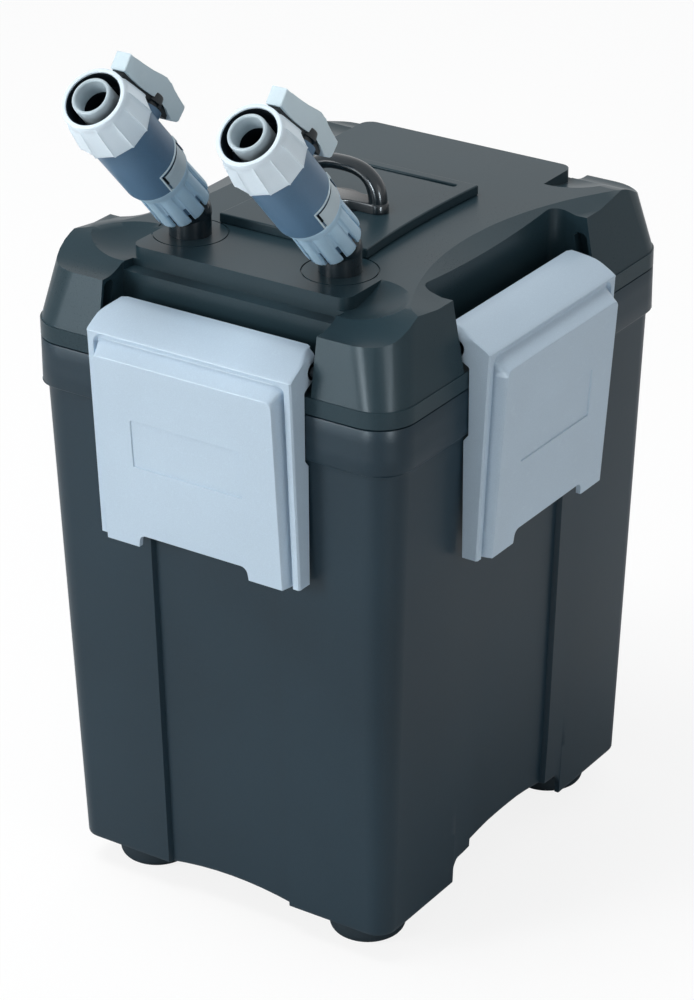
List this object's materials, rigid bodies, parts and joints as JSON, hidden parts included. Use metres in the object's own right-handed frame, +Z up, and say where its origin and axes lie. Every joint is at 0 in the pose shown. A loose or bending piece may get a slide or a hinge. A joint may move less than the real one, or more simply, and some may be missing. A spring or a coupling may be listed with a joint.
{
  "type": "canister filter",
  "caption": "Canister filter with a moulded tank, a clamped pump lid, two leaning hose valves and stacked media baskets.",
  "frame": {"origin": "middle of the bounding box, on the surface that the feet stand on", "axes": "+Z up, -Y towards the front where the hose valves lean, +X to the right seen from the front"},
  "size_m": [0.263, 0.3192, 0.4772],
  "materials": {
    "canister_plastic": "satin moulded charcoal plastic",
    "lid_plastic": "satin moulded charcoal plastic",
    "foot_rubber": "black rubber",
    "seal_rubber": "black rubber",
    "black_plastic": "black plastic",
    "steel": "stainless steel",
    "potting": "cast resin",
    "ceramic": "unglazed ceramic",
    "magnet": "moulded ferrite magnet",
    "impeller_plastic": "pale plastic",
    "grey_plastic": "grey plastic",
    "spigot_plastic": "black gloss plastic",
    "basket_plastic": "dark plastic",
    "sponge": "open-cell foam",
    "wool": "filter floss",
    "valve_plastic": "slate blue plastic",
    "lever_plastic": "pale blue grey plastic",
    "tail_plastic": "grey plastic",
    "nut_plastic": "very pale grey plastic",
    "latch_plastic": "pale blue grey plastic"
  },
  "bodies": {
    "filter": {"canister": "canister_plastic", "rubber_feet": "foot_rubber", "lid_seal": "seal_rubber", "lid_cover": "lid_plastic", "hatch_plate": "lid_plastic", "pump_plate": "black_plastic", "plate_screws": "steel", "motor_block": "potting", "rotor_shaft": "ceramic", "shaft_bushes": "seal_rubber", "volute_cover": "black_plastic", "priming_cylinder": "black_plastic", "intake_pipe": "basket_plastic", "bottom_basket": "basket_plastic", "middle_basket": "basket_plastic", "top_basket": "basket_plastic", "coarse_sponge": "sponge", "ceramic_media": "ceramic", "fine_wool": "wool", "inlet_spigot": "spigot_plastic", "outlet_spigot": "spigot_plastic", "spigot_rings": "seal_rubber", "inlet_valve_body": "valve_plastic", "outlet_valve_body": "valve_plastic", "inlet_hose_tail": "tail_plastic", "outlet_hose_tail": "tail_plastic"},
    "impeller_rotor": {"rotor_magnet": "magnet", "impeller": "impeller_plastic"},
    "priming_pump": {"priming_piston": "grey_plastic", "piston_ring": "seal_rubber", "pull_handle": "spigot_plastic"},
    "inlet_valve_lever": {"inlet_lever": "lever_plastic", "inlet_ball": "grey_plastic"},
    "outlet_valve_lever": {"outlet_lever": "lever_plastic", "outlet_ball": "grey_plastic"},
    "inlet_nut": {"inlet_hose_nut": "nut_plastic"},
    "outlet_nut": {"outlet_hose_nut": "nut_plastic"},
    "inlet_lock_collar": {"inlet_collar": "nut_plastic"},
    "outlet_lock_collar": {"outlet_collar": "nut_plastic"},
    "latch_front": {"front_latch": "latch_plastic"},
    "latch_rear": {"rear_latch": "latch_plastic"},
    "latch_left": {"left_latch": "latch_plastic"},
    "latch_right": {"right_latch": "latch_plastic"}
  },
  "joints": [
    {"name": "impeller_spin", "type": "hinge", "parent": "filter", "child": "impeller_rotor", "pos_m": [0.02, 0.05957, 0.316], "axis": [0, 0, 1], "continuous": true},
    {"name": "priming_pull", "type": "slide", "parent": "filter", "child": "priming_pump", "axis": [0, 0, 1], "range_m": [0, 0.03]},
    {"name": "inlet_valve_turn", "type": "hinge", "parent": "filter", "child": "inlet_valve_lever", "pos_m": [-0.05, -0.11848, 0.43026], "axis": [0, 0.7361, 0.6769], "range_deg": [0, 90]},
    {"name": "inlet_nut_turn", "type": "hinge", "parent": "filter", "child": "inlet_nut", "pos_m": [-0.05, -0.13879, 0.45235], "axis": [0, -0.6769, 0.7361], "continuous": true},
    {"name": "inlet_collar_turn", "type": "hinge", "parent": "filter", "child": "inlet_lock_collar", "pos_m": [-0.05, -0.08803, 0.39714], "axis": [0, -0.6769, 0.7361], "continuous": true},
    {"name": "outlet_valve_turn", "type": "hinge", "parent": "filter", "child": "outlet_valve_lever", "pos_m": [0.042, -0.11848, 0.43026], "axis": [0, 0.7361, 0.6769], "range_deg": [0, 90]},
    {"name": "outlet_nut_turn", "type": "hinge", "parent": "filter", "child": "outlet_nut", "pos_m": [0.042, -0.13879, 0.45235], "axis": [0, -0.6769, 0.7361], "continuous": true},
    {"name": "outlet_collar_turn", "type": "hinge", "parent": "filter", "child": "outlet_lock_collar", "pos_m": [0.042, -0.08803, 0.39714], "axis": [0, -0.6769, 0.7361], "continuous": true},
    {"name": "front_latch_swing", "type": "hinge", "parent": "filter", "child": "latch_front", "pos_m": [0, -0.12443, 0.336], "axis": [-1, 0, 0], "range_deg": [0, 90]},
    {"name": "rear_latch_swing", "type": "hinge", "parent": "filter", "child": "latch_rear", "pos_m": [0, 0.13357, 0.336], "axis": [1, 0, 0], "range_deg": [0, 90]},
    {"name": "right_latch_swing", "type": "hinge", "parent": "filter", "child": "latch_right", "pos_m": [0.1055, -0.00043, 0.336], "axis": [0, -1, 0], "range_deg": [0, 90]},
    {"name": "left_latch_swing", "type": "hinge", "parent": "filter", "child": "latch_left", "pos_m": [-0.1055, -0.00043, 0.336], "axis": [0, 1, 0], "range_deg": [0, 90]}
  ]
}
